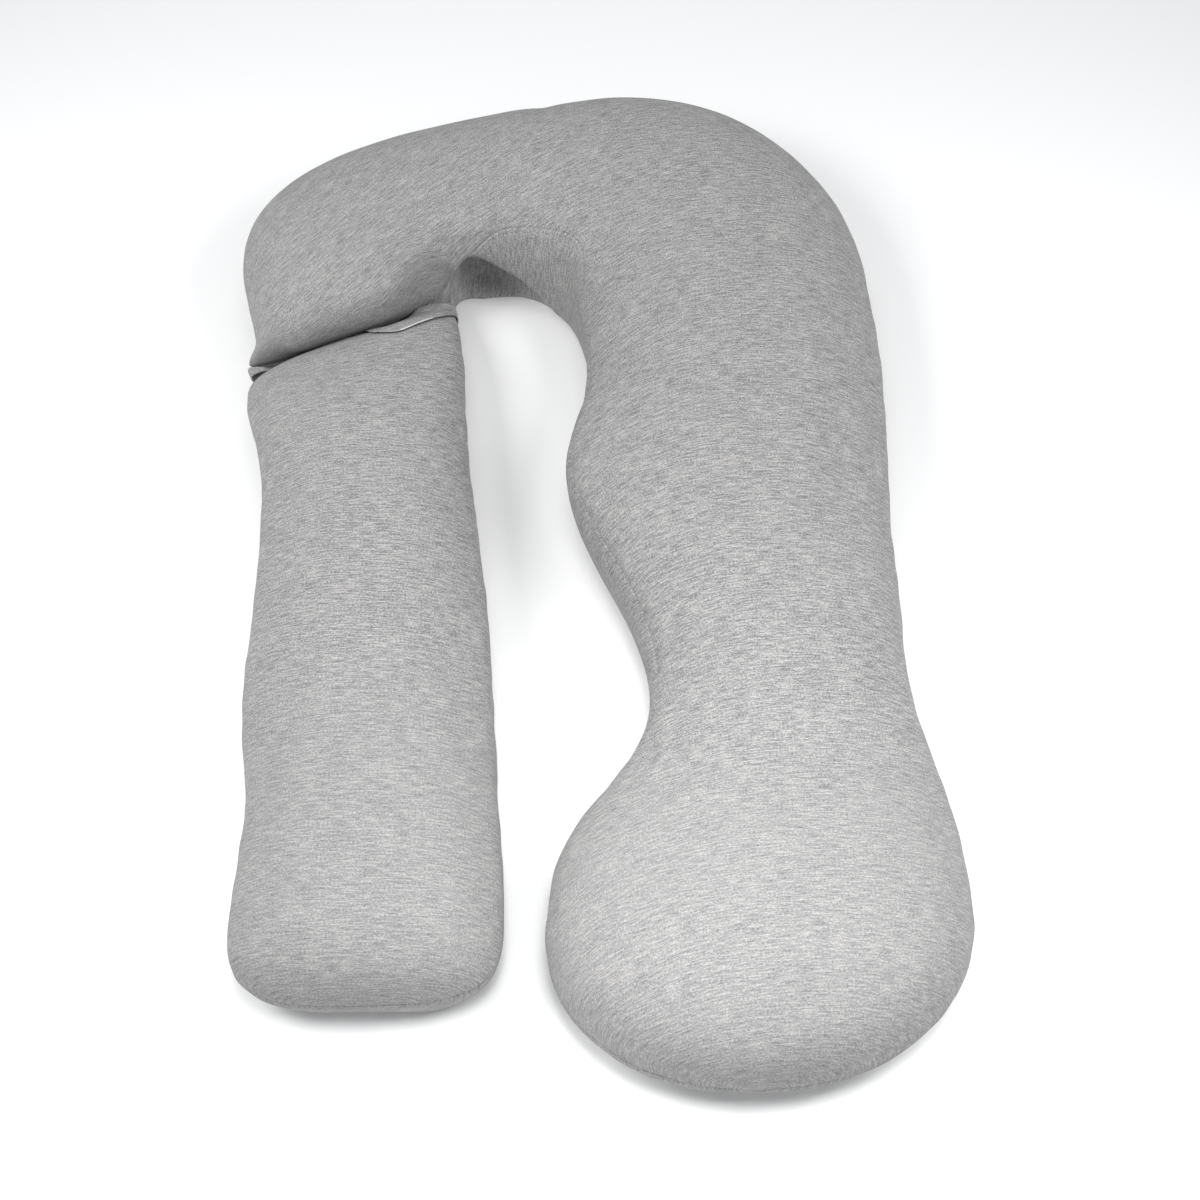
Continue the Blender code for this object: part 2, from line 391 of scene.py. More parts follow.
FLAP_CUTS = (
    FlapCut(-42, 0, 0, 0, 0.0, 0),
    FlapCut(-34, 0, 0, 0, 0.0, 0),
    FlapCut(-26, 0, 1, 7, 0.4, 1),
    FlapCut(-14, 0, 1, 15, 0.8, 2),
    FlapCut(-3, 0, 1, 18, 1.0, 2),
    FlapCut(8, 0, 1, 15, 0.8, 2),
    FlapCut(18, 0, 1, 7, 0.4, 1),
    FlapCut(28, 0, 0, 0, 0.0, 0),
    FlapCut(84, 0, 0, 6, 0.0, 0),
    FlapCut(90, 0, 1, 7, 0.6, 0.5),
    FlapCut(93, 0, 1, 8, 0.6, 0.5),
    FlapCut(97, 0, 1, 37, 0.6, 0.5),
    FlapCut(100, 0, 1, 42, 2.2, 0.8),
    FlapCut(105, 0, 1, 47, 0.8, 2.0),
    FlapCut(110, 0.1, 1, 53, 2.0, 3.0),
    FlapCut(115, 0.4, 1, 50, 1.2, 4.0),
    FlapCut(124, 1, 1, 43, 2.0, 5.0),
    FlapCut(136, 1, 1, 35, 1.8, 5.5),
    FlapCut(152, 1, 1, 27, 1.4, 5.0),
    FlapCut(168, 1, 1, 21, 1.0, 2.5),
    FlapCut(182, 0.8, 1, 17, 0.4, 0.5),
    FlapCut(198, 0.6, 1, 14, 0.0, 0.0),
)
FLAP_THICK = 1.8  # two layers of jersey
FLAP_CLEAR = 1.9  # from a cushion's skin to the middle of the flap
FLAP_BACK = (15, 8)  # how far its first two control points lean back to the stub
FLAP_START_DEPTH = 5  # how far the first one is down in the joint there
FLAP_DEPTHS = (22, 19, 16.5, 14.5, 13)  # how far down in the joint its points are, where it is hidden
FLAP_FROM_ARM = 2  # from the arm's end to the middle of the flap down there
FLAP_STRIPS = 28
FLAP_ROWS = 241
OVERLOCK_TURNS = (112, 137)  # where the pale thread of the overlocking shows

WASHOUT_BEFORE_END = (-430, -230)  # painted washout: the streaks fade towards the ground colour more and more between these distances before the tip, where the near light is brightest
LOOSE_FROM_SEAM = (4, 40)  # the cloth is held here and nearer, and loose from there on
LOOSE_FROM_FLOOR = (6, 30)
LOOSE_FROM_JOINT = (50, 130)
SIM_SHRINK = 2  # how far inside its drawn shape the loose cloth starts
SIM_CAP = 5  # the furthest that the filling pushes it from there
SIM_PRESSURE = 4.0
JERSEY_STIFFNESS = 12
JERSEY_BENDING = 0.4
SIM_FRAMES = 20
SIM_QUALITY = 4  # steps a frame
JOINT_LENGTH = 64  # the part of a cushion next to the joint that has closer loops
JOINT_STEP = 4
END_LOOPS = (12, 8, 5, 3, 1.5, 0)  # how far before the tip of a near end its last loops are
END_FINE = 4000  # points read along a near end before its loops are spaced out
END_HALF_WIDTH = 110  # half the width of a near end, for spacing its loops
SEAM_WIDTH = 1.5  # half-width of the groove along a seam
SEAM_DIP_WIDTH = 7  # half-width of the shallower dip round it
TOPSTITCH_BELOW = 6.2  # how far under the seam its second row of stitches runs
TOPSTITCH_WIDTH = 1.3
PUCKER = 1.6  # height of the short waves that the stitching draws up beside the seams
PUCKER_WIDTH = 26  # how far they spread from a seam
PLAIN_AT_JOINT = 30  # the cloth gets lumps and puckers over this distance from the joint
PLAIN_AT_FLOOR = (4, 50)  # and between these heights
FINE = 1440  # points read round one cut before its mesh points are spaced out
SEAM_ROWS = np.array((-13, -8.5, -5.6, -3.6, -1.8, 0, 1.8, 3.6, 5.6, 8.5, 13))  # loops beside a seam, in mm
NARROW_SEAM_ROWS = 1.15  # how far the cushion may narrow before those loops come closer, as a ratio
TOP_COUNT = 34
OUTER_COUNT = 11
INNER_COUNT = 18
BASE_COUNT = 8
BASE_FINE = 39  # points read along each half of the base


def natural_spline(knots, rows, places):
    """The rows of numbers at the knots, read at the places on a natural cubic spline."""
    count = len(knots)
    steps = np.diff(knots)
    slopes = np.diff(rows, axis=0) / steps[:, None]
    system = np.eye(count)
    target = np.zeros_like(rows)
    for i in range(1, count - 1):
        system[i, i - 1 : i + 2] = steps[i - 1], 2 * (steps[i - 1] + steps[i]), steps[i]
        target[i] = 6 * (slopes[i] - slopes[i - 1])
    bend = np.linalg.solve(system, target)
    index = np.clip(np.searchsorted(knots, places) - 1, 0, count - 2)
    step = steps[index][:, None]
    b = (places - knots[index])[:, None] / step
    a = 1 - b
    curve = (a**3 - a) * bend[index] + (b**3 - b) * bend[index + 1]
    return a * rows[index] + b * rows[index + 1] + curve * step**2 / 6


def distances(sections):
    """How far each section is along the cushion, by its outer, middle and inner lines together."""
    rows = np.array([section[1:5] for section in sections], float)
    outer, inner = rows[:, 0:2], rows[:, 2:4]
    spans = [np.linalg.norm(np.diff(line, axis=0), axis=1) for line in (outer, (outer + inner) / 2, inner)]
    return np.concatenate([[0], np.cumsum(np.mean(spans, axis=0))])


def read_cuts(sections, places):
    """The sections' sizes at distances along the cushion, as one Section of columns."""
    rows = np.array([section[1:] for section in sections], float)
    table = natural_spline(distances(sections), rows, np.array(places, float))
    return Section("", *table.T[:, :, None])


def skin_points(cut, share, top_share, turn):
    """Points of the cuts: turn 0 is the outer rim, 90 the top, 180 the inner rim. Feet are past them."""
    half = np.hypot(cut.inner_x - cut.outer_x, cut.inner_y - cut.outer_y) / 2
    angle = np.radians(turn)
    lean = np.cos(angle)
    full = np.where(lean > 0, OUTER_FULL, cut.inner_full)
    over = -np.copysign(np.abs(lean) ** (2 / full), lean)
    rise = np.maximum(0.0, np.sin(angle)) ** (2 / CROWN_FULL)
    rim = cut.outer_rim + (cut.inner_rim - cut.outer_rim) * (1 + over) / 2
    drop = np.abs(np.sin(angle))
    across = np.where(turn < 0, cut.outer_foot / half * (1 - lean) - 1, over)
    across = np.where(turn > 180, 1 - cut.inner_foot / half * (1 + lean), across)
    height = rim + (cut.crown - rim) * rise * top_share
    height = np.where(turn < 0, cut.outer_rim * (1 - drop * share), height)
    height = np.where(turn > 180, cut.inner_rim * (1 - drop * share), height)
    x = (cut.outer_x + cut.inner_x + (cut.inner_x - cut.outer_x) * across * share) / 2
    y = (cut.outer_y + cut.inner_y + (cut.inner_y - cut.outer_y) * across * share) / 2
    return np.stack(np.broadcast_arrays(x, y, height), axis=-1)


def run_length(points):
    """Distance along lines of points, from their first points. The last axis is x, y and z."""
    steps = np.linalg.norm(np.diff(points, axis=-2), axis=-1)
    return np.concatenate([np.zeros_like(steps[..., :1]), np.cumsum(steps, axis=-1)], axis=-1)


def points_at(stops, along, points):
    """Points of a line, read at stops along its length."""
    return np.stack([np.interp(stops, along, points[:, k]) for k in range(3)], axis=-1)


def places_and_shares(sections, end, spacing):
    """Where the loops of a cushion are, and the shares of their full width and height near its end."""
    straight = distances(sections)[-1] - end.length
    count = round((straight - JOINT_LENGTH) / spacing)
    places = list(np.arange(0, JOINT_LENGTH, JOINT_STEP))
    places += list(np.linspace(JOINT_LENGTH, straight, count + 1))
    turn = np.linspace(0, math.pi / 2, END_FINE)
    share = np.maximum(0.0, 1 - np.sin(turn) ** end.full) ** (1 / end.full)
    last = sections[-1]
    depth = (last.crown - last.inner_rim) * share
    line = np.stack([end.length * np.sin(turn), depth, END_HALF_WIDTH * share], axis=-1)
    along = run_length(line)
    stops = list(np.arange(spacing, along[-1] - END_LOOPS[0] - 2, spacing))
    stops += [along[-1] - back for back in END_LOOPS]
    places += list(straight + np.interp(stops, along, line[:, 0]))
    top_share = np.maximum(0.0, 1 - np.sin(turn) ** end.top_full) ** (1 / end.top_full)
    whole = [1.0] * (len(places) - len(stops))
    shares = [np.array(whole + list(np.interp(stops, along, row))) for row in (share, top_share)]
    return np.array(places), *shares


class Cover(NamedTuple):
    """A cushion's points in loops, with what each one needs for its seams and its cloth, in millimetres."""

    points: np.ndarray  # loops x points x 3
    seams: np.ndarray  # the outer and the inner seam's column
    gap: np.ndarray  # distance from the nearest seam line, negative under it
    from_joint: np.ndarray  # distance along the cushion
    stretch: np.ndarray  # 1 over the near end, where the streaks are faded as a painted washout under the near light
    loose: np.ndarray  # 1 where the filling may push the cloth out, 0 where it is held
    maps: dict  # cloth position of each point in metres, for the top, the outer and the inner lower panel


def cover(sections, end, spacing, grain=None, shape=None):
    """The loops of a cushion, closer beside its seams, and the flat place of each point in its panel."""
    places, shares, top_shares = places_and_shares(sections, end, spacing)
    cut = read_cuts(sections, places)
    turn = np.linspace(-90, 270, FINE + 1)[None, :]
    side = skin_points(cut, shares[:, None], top_shares[:, None], turn)
    middle = (side[:, :1] + side[:, -1:]) / 2
    base = np.linspace(0, 1, BASE_FINE + 1)[None, :, None]
    under_outer = middle + (side[:, :1] - middle) * base[:, :-1]
    under_inner = side[:, -1:] + (middle - side[:, -1:]) * base[:, 1:]
    fine = np.concatenate([under_outer, side, under_inner], axis=1)
    if shape is not None:
        fine = shape(fine, places)
    along = run_length(fine)
    skin = along[:, BASE_FINE:-BASE_FINE]
    outer = np.array([np.interp(0, turn[0], row) for row in skin])
    inner = np.array([np.interp(seam, turn[0], row) for seam, row in zip(cut.inner_seam[:, 0], skin)])
    crown = np.array([np.interp(90, turn[0], row) for row in skin])
    narrow = np.minimum(1.0, shares * NARROW_SEAM_ROWS)
    stops = []
    for i, total in enumerate(along[:, -1]):
        rows = SEAM_ROWS * narrow[i]
        low, high = along[i, BASE_FINE], along[i, -BASE_FINE - 1]
        under_outer = np.linspace(0, low, BASE_COUNT + 1)[:-1]
        outer_side = np.linspace(low, outer[i] + rows[0], OUTER_COUNT + 1)[:-1]
        top = np.linspace(outer[i] + rows[-1], inner[i] + rows[0], TOP_COUNT + 1)[1:-1]
        inner_side = np.linspace(inner[i] + rows[-1], high, INNER_COUNT + 1)[1:]
        under_inner = np.linspace(high, total, BASE_COUNT + 1)[1:-1]
        rings = (under_outer, outer_side, outer[i] + rows, top, inner[i] + rows, inner_side, under_inner)
        stops.append(np.concatenate(rings))
    stops = np.array(stops)
    points = np.stack([points_at(*row) for row in zip(stops, along, fine)])
    outer_column = BASE_COUNT + OUTER_COUNT + len(SEAM_ROWS) // 2
    inner_column = outer_column + len(SEAM_ROWS) + TOP_COUNT - 1
    maps = panel_maps(points, stops, crown, outer, inner, (outer_column, inner_column), cut, grain)
    gap = seam_gap(points, (outer_column, inner_column))
    loose = smooth_step(places, *LOOSE_FROM_JOINT)[:, None] * smooth_step(points[..., 2], *LOOSE_FROM_FLOOR)
    loose = loose * smooth_step(np.abs(gap), *LOOSE_FROM_SEAM)
    from_joint = np.broadcast_to(places[:, None], gap.shape)
    # Painted washout: the streaks are faded over the near end, where the near light is brightest.
    stretch = smooth_step(from_joint - places[-1], *WASHOUT_BEFORE_END)
    return Cover(points, np.array((outer_column, inner_column)), gap, from_joint, stretch, loose, maps)


def panel_maps(points, stops, crown, outer, inner, seams, cut, grain):
    """The place of each point on its flat panel, in metres: along the courses of the knit, and across."""
    ridge = np.stack([points_at(*row) for row in zip(crown, stops, points)])
    sideways = np.concatenate([cut.inner_x - cut.outer_x, cut.inner_y - cut.outer_y], axis=1)
    sideways = sideways / np.linalg.norm(sideways, axis=1, keepdims=True)
    step = np.diff(ridge, axis=0)
    way = step[:, :2] / np.maximum(np.linalg.norm(step[:, :2], axis=1, keepdims=True), 1e-9)
    laid = np.cumsum(way * np.linalg.norm(step, axis=1, keepdims=True), axis=0)
    spread = np.concatenate([ridge[:1, :2], ridge[:1, :2] + laid])
    flat = spread[:, None] + sideways[:, None] * (stops - crown[:, None])[..., None]
    if grain is None:
        length = np.broadcast_to(run_length(ridge)[:, None], stops.shape)
        top = np.stack([stops - crown[:, None], -length], axis=-1)
    else:
        top = courses_across(flat, grain)
    lines = [run_length(points[:, column]) for column in seams]
    outer_low = np.stack([outer[:, None] - stops, np.broadcast_to(lines[0][:, None], stops.shape)], axis=-1)
    inner_low = np.stack([stops - inner[:, None], np.broadcast_to(lines[1][:, None], stops.shape)], axis=-1)
    outer_start, inner_start = LOWER_PANEL_STARTS
    outer_low = outer_low * MM + (outer_start, 0)
    inner_low = inner_low * MM + (inner_start, 0)
    return {"top": top * MM, "outer": outer_low, "inner": inner_low}


def courses_across(flat, grain):
    """Cloth places for points laid out flat, where the courses of the knit climb as the grain says."""
    table = np.array(grain, float)
    reach = np.linspace(-900, 900, 1801)
    rise = np.interp(reach, table[:, 0], table[:, 1])
    climb = np.concatenate([[0], np.cumsum((rise[1:] + rise[:-1]) / 2)])
    course = np.concatenate([[0], np.cumsum(np.hypot(1, (rise[1:] + rise[:-1]) / 2))])
    x, y = flat[..., 0], flat[..., 1]
    return np.stack([np.interp(x, reach, course), y - np.interp(x, reach, climb)], axis=-1)


def shape_body(fine, places):
    """Leans the stub's end over the joint, and folds the cloth in under the inner wall of the head end."""
    x, y, z = fine[..., 0], fine[..., 1], fine[..., 2]
    column = np.arange(fine.shape[1])
    under = 1 - np.clip((column - (BASE_FINE + FINE)) / BASE_FINE, 0, 1)
    near = np.exp(-((places / END_LEAN_LENGTH) ** 2))[:, None]
    lean = np.interp(x, *np.array(END_LEAN, float).T)
    forward, back = smooth_step(z, *LEAN_HEIGHTS), smooth_step(z, *STAND_BACK_HEIGHTS) * under
    lean = lean * near * np.where(lean > 0, forward, back)
    turn = (column - BASE_FINE) * 360 / FINE - 90
    ear = EAR * np.exp(-((places / EAR_LENGTH) ** 2))[:, None]
    ear = ear * np.exp(-(((turn - EAR_TURN) / EAR_SPREAD) ** 2))
    table = np.array(HEAD_TUCK, float)
    lip, depth, foot = (np.interp(x, table[:, 0], table[:, k], left=0, right=0) for k in (1, 2, 3))
    rows = np.array(TUCK_PROFILE)
    share = z / np.maximum(lip, 1)
    drawn = depth * np.interp(share, rows[:, 0], rows[:, 1])
    drawn = drawn + foot * (1 - smooth_step(share, 0.0, TUCK_FOOT_SHARE))
    drawn = np.where((turn > TUCK_FROM_TURN) & (y > TUCK_FROM_Y), drawn * under, 0.0)
    moved = fine + lean[..., None] * JOINT_WAY + ear[..., None] * STUB_EAR_WAY
    moved[..., 1] += drawn
    return moved


def shape_arm(fine, places):
    """Pushes the arm's cloth up against the stub."""
    x, z = fine[..., 0], fine[..., 2]
    near = np.exp(-((places / ARM_RISE_LENGTH) ** 2))[:, None]
    moved = fine.copy()
    moved[..., 2] += np.interp(x, *np.array(ARM_RISE, float).T) * near * smooth_step(z, *RISE_HEIGHTS)
    return moved


def smooth_step(value, low, high):
    t = np.clip((value - low) / (high - low), 0, 1)
    return t * t * (3 - 2 * t)


def seam_gap(points, seams):
    """How far each point is from the nearest seam line, negative under it."""
    line = np.concatenate([points[:, seams[0]], points[::-1, seams[1]]])
    flat = points.reshape(-1, 3)
    best = np.full(len(flat), 1e9)
    for first, second in zip(line, line[1:]):
        along = second - first
        t = np.clip((flat - first) @ along / max(along @ along, 1e-9), 0, 1)
        best = np.minimum(best, np.linalg.norm(flat - first - t[:, None] * along, axis=1))
    best = best.reshape(points.shape[:2])
    column = np.arange(points.shape[1])
    under = (column < seams[0]) | (column > seams[1])
    return np.where(under[None, :], -best, best)


def cushion_mesh(name, made):
    """A closed mesh from a cushion's loops, with its cloth map and what else its points carry."""
    loops, around = made.points.shape[:2]
    columns = np.arange(around)
    after = np.roll(columns, -1)
    start = np.arange(loops - 2)[:, None] * around
    corners = (start + columns, start + after, start + around + after, start + around + columns)
    quads = np.stack(corners, axis=-1).reshape(-1, 4)
    tip = (loops - 1) * around
    last = (loops - 2) * around
    faces = [tuple(quad) for quad in quads] + [(last + a, last + b, tip) for a, b in zip(columns, after)]
    faces.append(tuple(columns[::-1]))
    points = np.concatenate([made.points[:-1].reshape(-1, 3), made.points[-1, :1]])
    data = bpy.data.meshes.new(name)
    data.from_pydata(((points + CENTRE) * MM).tolist(), [], faces)
    outer, inner = made.seams
    panel = np.where((columns >= outer) & (columns < inner), 0, np.where(columns < outer, 1, 2))
    maps = np.stack([made.maps[key].reshape(-1, 2) for key in ("top", "outer", "inner")])
    corner = np.empty(len(data.loops), np.int32)
    data.loops.foreach_get("vertex_index", corner)
    sizes = np.array([len(face) for face in faces])
    kind = np.concatenate([np.tile(panel, loops - 2), panel, [2]])
    uv = maps[np.repeat(kind, sizes), corner]
    data.uv_layers.new(name="cloth").data.foreach_set("uv", uv.astype(np.float32).ravel())
    kept = {"seam_gap": made.gap * MM, "from_joint": made.from_joint * MM, "stretch": made.stretch}
    for key, values in kept.items():
        values = np.append(values[:-1].ravel(), values[-1, 0]).astype(np.float32)
        data.attributes.new(key, "FLOAT", "POINT").data.foreach_set("value", values)
    data.validate()
    piece = bpy.data.objects.new(name, data)
    bpy.context.scene.collection.objects.link(piece)
    return piece


def use_only(piece):
    """Makes the piece the one object that an operator acts on."""
    bpy.ops.object.select_all(action="DESELECT")
    piece.select_set(True)
    bpy.context.view_layer.objects.active = piece


def outward(piece):
    """Turns every face of a closed piece outwards."""
    use_only(piece)
    bpy.ops.object.mode_set(mode="EDIT")
    bpy.ops.mesh.select_all(action="SELECT")
    bpy.ops.mesh.normals_make_consistent(inside=False)
    bpy.ops.object.mode_set(mode="OBJECT")


def finish_with(piece, kind, **settings):
    """Adds one modifier with its settings and applies it."""
    use_only(piece)
    modifier = piece.modifiers.new(kind.title(), kind)
    for key, value in settings.items():
        setattr(modifier, key, value)
    bpy.ops.object.modifier_apply(modifier=modifier.name)


def read_points(piece):
    values = np.empty(len(piece.data.vertices) * 3, np.float32)
    piece.data.vertices.foreach_get("co", values)
    return values.reshape(-1, 3).astype(float)


def read_normals(piece):
    values = np.empty(len(piece.data.vertices) * 3, np.float32)
    piece.data.vertex_normals.foreach_get("vector", values)
    return values.reshape(-1, 3).astype(float)


def write_points(piece, points):
    piece.data.vertices.foreach_set("co", points.astype(np.float32).ravel())
    piece.data.update()


def swell_up(piece, loose):
    """Runs a cover's loose cloth with pressure inside, from a slightly smaller shape, and keeps that."""
    scene = bpy.context.scene
    start = read_points(piece) - read_normals(piece) * SIM_SHRINK * MM * loose[:, None]
    write_points(piece, start)
    held = piece.vertex_groups.new(name="held")
    for index in np.flatnonzero(loose < 1):
        held.add([int(index)], float(1 - loose[index]), "REPLACE")
    cloth = piece.modifiers.new("Cloth", "CLOTH")
    cloth.settings.quality = SIM_QUALITY
    cloth.settings.tension_stiffness = cloth.settings.compression_stiffness = JERSEY_STIFFNESS
    cloth.settings.bending_stiffness = JERSEY_BENDING
    cloth.settings.use_pressure = True
    cloth.settings.uniform_pressure_force = SIM_PRESSURE
    cloth.settings.effector_weights.gravity = 0
    cloth.settings.vertex_group_mass = held.name
    cloth.collision_settings.use_collision = False
    cloth.point_cache.frame_start, cloth.point_cache.frame_end = 1, SIM_FRAMES
    for frame in range(1, SIM_FRAMES + 1):
        scene.frame_set(frame)
    swollen = piece.evaluated_get(bpy.context.evaluated_depsgraph_get())
    values = np.empty(len(start) * 3, np.float32)
    swollen.data.vertices.foreach_get("co", values)
    piece.modifiers.remove(cloth)
    piece.vertex_groups.remove(held)
    scene.frame_set(1)
    move = values.reshape(-1, 3) - start
    reach = np.linalg.norm(move, axis=1, keepdims=True)
    write_points(piece, start + move * np.minimum(1.0, SIM_CAP * MM / np.maximum(reach, 1e-9)))


def fibre_lump(point):
    """Soft lumps about 140 mm and 60 mm long."""
    return noise.noise(point * 7) + 0.4 * noise.noise(point * 17 + Vector((7, 1, 3)))


def sew_and_fill(piece, depth, lumps):
    """Draws the seams in and raises the soft unevenness of the filling."""
    points, normals = read_points(piece), read_normals(piece)
    gap, from_joint = np.empty(len(points), np.float32), np.empty(len(points), np.float32)
    piece.data.attributes["seam_gap"].data.foreach_get("value", gap)
    piece.data.attributes["from_joint"].data.foreach_get("value", from_joint)
    gap = gap.astype(float) / MM
    groove = np.exp(-((gap / SEAM_WIDTH) ** 2)) + 0.4 * np.exp(-((gap / SEAM_DIP_WIDTH) ** 2))
    second = 0.5 * np.exp(-(((gap + TOPSTITCH_BELOW) / TOPSTITCH_WIDTH) ** 2))
    low = np.array([fibre_lump(Vector(p)) for p in points])
    clear_of_floor = smooth_step(points[:, 2], *(height * MM for height in PLAIN_AT_FLOOR))
    beside = np.exp(-((gap / PUCKER_WIDTH) ** 2))
    drawn = np.array([noise.noise(Vector(p) * 34) for p in points]) * beside * PUCKER * MM
    clear = clear_of_floor * smooth_step(from_joint / MM, 0, PLAIN_AT_JOINT)
    move = -depth * (groove + second) + (lumps * low + drawn) * clear
    moved = points + normals * move[:, None]
    moved[:, 2] = np.maximum(moved[:, 2], 0.0)
    write_points(piece, moved)


def skin(sections, places, turns, way):
    """Points of a cushion's skin and the directions out of it. The way is 1 if the cushion runs to -Y."""
    turns = turns[:, None]
    here, along = read_cuts(sections, places), read_cuts(sections, places + 1)
    points = skin_points(here, 1, 1, turns)[:, 0]
    forward = skin_points(along, 1, 1, turns)[:, 0] - points
    across = skin_points(here, 1, 1, turns + 1)[:, 0] - points
    out = np.cross(forward, across) * way
    return points, out / np.linalg.norm(out, axis=1, keepdims=True)


def flap_controls():
    """Five points of the middle of the flap at each turn: from the stub or the joint, to its free edge."""
    table = np.array(FLAP_CUTS, float)
    turns = np.linspace(table[0, 0], table[-1, 0], FLAP_ROWS)
    soft = np.hanning(9)
    soft /= soft.sum()
    rows = []
    for column in table.T[1:]:
        row = np.pad(np.interp(turns, table[:, 0], column), 4, mode="edge")
        rows.append(np.convolve(row, soft, "valid")[:, None])
    on_stub, on_arm, reach, lift, roll = rows
    none = np.zeros(len(turns))
    stub_rim, _ = skin(BODY_SECTIONS, none, turns, -1)
    arm_rim, _ = skin(ARM_SECTIONS, none, turns, 1)
    middle = (stub_rim + arm_rim) / 2
    out = np.cross(JOINT_WAY, np.gradient(arm_rim, axis=0))
    out /= np.linalg.norm(out, axis=1, keepdims=True)
    hidden = [arm_rim - JOINT_WAY * FLAP_FROM_ARM - out * depth for depth in FLAP_DEPTHS]
    back = [JOINT_WAY * step * on_stub for step in FLAP_BACK]
    laid = [middle - back[0] - out * FLAP_START_DEPTH, middle - back[1] + out * (FLAP_CLEAR + roll)]
    for share, stand in ((0.3, roll * 0.8), (0.65, roll * 0.4 + lift * 0.3), (1.0, lift)):
        point, point_out = skin(ARM_SECTIONS, reach[:, 0] * share, turns, 1)
        point = shape_arm(point[:, None], reach[:, 0] * share)[:, 0]
        laid.append(point + point_out * (FLAP_CLEAR + stand))
    weights = (on_stub, on_stub + (on_arm - on_stub) * 0.35, on_arm, on_arm, on_arm)
    ear = EAR * np.exp(-(((turns - EAR_TURN) / EAR_SPREAD) ** 2))[:, None] * FLAP_EAR_WAY
    shares = (0.0, 0.4, 0.86, 0.92, 0.4)
    points = []
    for low, high, weight, share in zip(hidden, laid, weights, shares):
        points.append(low + (high - low) * weight + ear * share)
    return turns, np.stack(points)


def flap_mesh(name):
    """The middle of the flap as an open strip with its cloth map, and the overlocked part of its edge."""
    turns, controls = flap_controls()
    knots = np.arange(5.0)
    stops = np.linspace(0, 4, FLAP_STRIPS + 1)
    rows = natural_spline(knots, controls.reshape(5, -1), stops)
    rows = rows.reshape(len(stops), -1, 3).transpose(1, 0, 2)
    count, across = rows.shape[:2]
    index = np.arange(count * across).reshape(count, across)
    corners = (index[:-1, :-1], index[1:, :-1], index[1:, 1:], index[:-1, 1:])
    quads = np.stack(corners, axis=-1).reshape(-1, 4)
    data = bpy.data.meshes.new(name)
    data.from_pydata(((rows.reshape(-1, 3) + CENTRE) * MM).tolist(), [], quads.tolist())
    length = run_length(rows[:, across // 2])
    down = run_length(rows)
    place = np.stack([np.broadcast_to(length[:, None], down.shape), down], axis=-1).reshape(-1, 2) * MM
    corner = np.empty(len(data.loops), np.int32)
    data.loops.foreach_get("vertex_index", corner)
    data.uv_layers.new(name="cloth").data.foreach_set("uv", place[corner].astype(np.float32).ravel())
    piece = bpy.data.objects.new(name, data)
    bpy.context.scene.collection.objects.link(piece)
    first, last = OVERLOCK_TURNS
    return piece, index[(turns > first) & (turns < last), -1]


def overlock(piece, edge):
    """Marks the lower layer of the flap's free edge, where the pale thread of its overlocking shows."""
    mark = np.zeros(len(piece.data.vertices), np.float32)
    mark[edge + len(mark) // 2] = 1.0
    piece.data.attributes.new("overlock", "FLOAT", "POINT").data.foreach_set("value", mark)


# ---------------------------------------------------------------- cloth


def add(tree, kind, sockets=(), **settings):
    """Adds a node. A socket is given a value, or another node's output to be linked to."""
    node = tree.nodes.new(kind)
    for key, value in settings.items():
        setattr(node, key, value)
    for socket, value in dict(sockets).items():
        if isinstance(value, bpy.types.NodeSocket):
            tree.links.new(value, node.inputs[socket])
        else:
            node.inputs[socket].default_value = value
    return node


MIX_COLOUR_A, MIX_COLOUR_B, MIX_COLOUR = 6, 7, 2  # the colour sockets of a Mix node
ALL_DARK, ALL_LIGHT = 0.375, 0.625  # how mixed the fibres are where only the dyed or the undyed ones show
COURSE = 0.0016  # height of one course of the knit


